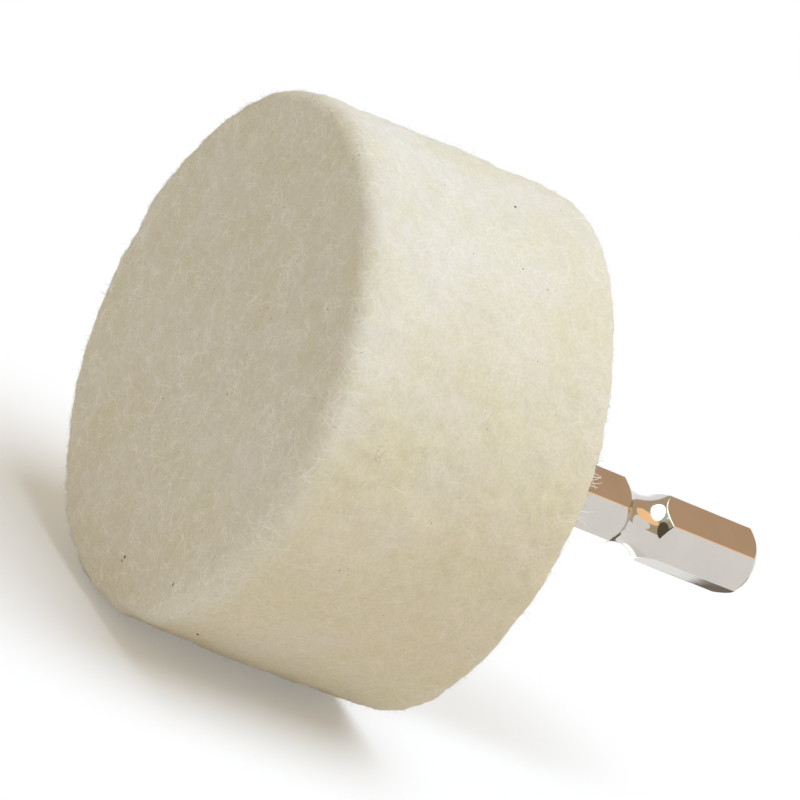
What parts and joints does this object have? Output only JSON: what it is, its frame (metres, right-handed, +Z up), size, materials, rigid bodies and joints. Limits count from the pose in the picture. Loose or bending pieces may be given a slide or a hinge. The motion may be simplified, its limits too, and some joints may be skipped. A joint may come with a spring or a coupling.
{
  "type": "felt polishing wheel",
  "caption": "Solid cylindrical block of pressed wool felt bonded to a hexagonal quick-change shank with a detent groove, for polishing in a drill.",
  "frame": {"origin": "centre of the shank's flat tail end face", "axes": "+Y along the axis of rotation, out of the shank's tail; the felt's working face looks to -Y; +Z up with the wheel lying on its round side; +X square to one flat of the hexagon"},
  "size_m": [0.05, 0.0618, 0.05],
  "materials": {
    "felt": "matte pressed wool with a fine curly nap",
    "shank": "bright chrome plate",
    "adhesive": "cured clear amber resin"
  },
  "bodies": {
    "root": {"felt_wheel": "felt", "hex_shank": "shank", "adhesive_sleeve": "adhesive"}
  },
  "joints": []
}
